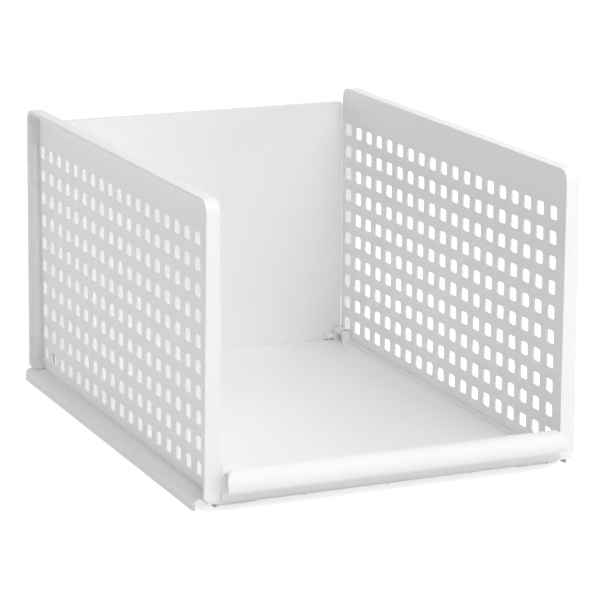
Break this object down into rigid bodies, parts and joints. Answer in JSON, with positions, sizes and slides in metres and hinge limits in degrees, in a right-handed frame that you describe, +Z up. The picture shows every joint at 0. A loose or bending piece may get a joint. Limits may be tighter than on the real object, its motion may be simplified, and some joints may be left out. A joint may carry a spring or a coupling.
{
  "type": "foldable storage bin",
  "caption": "Open-fronted stackable plastic storage bin with perforated side panels and a plain back panel, all hinged to fold flat onto a base tray with a rolled front lip and side runners.",
  "frame": {"origin": "under the middle of the bin, on the surface that its runner skirts stand on", "axes": "+X to the right of a person who faces the open front, +Y from the open front to the back, +Z up"},
  "size_m": [0.322, 0.4448, 0.2427],
  "materials": {
    "white_plastic": "satin white moulded plastic with a fine grain",
    "pin_plastic": "smooth white moulded plastic"
  },
  "bodies": {
    "tray": {"base_tray": "white_plastic", "left_hinge_pins": "pin_plastic", "right_hinge_pins": "pin_plastic", "back_hinge_pins": "pin_plastic"},
    "left_panel": {"left_side_panel": "white_plastic"},
    "right_panel": {"right_side_panel": "white_plastic"},
    "back": {"back_panel": "white_plastic"}
  },
  "joints": [
    {"name": "left_panel_fold", "type": "hinge", "parent": "tray", "child": "left_panel", "pos_m": [-0.141, 0, 0.0305], "axis": [0, 1, 0], "range_deg": [0, 90]},
    {"name": "right_panel_fold", "type": "hinge", "parent": "tray", "child": "right_panel", "pos_m": [0.141, 0, 0.0165], "axis": [0, -1, 0], "range_deg": [0, 90]},
    {"name": "back_panel_fold", "type": "hinge", "parent": "tray", "child": "back", "pos_m": [0, 0.2134, 0.0104], "axis": [1, 0, 0], "range_deg": [0, 90]}
  ]
}
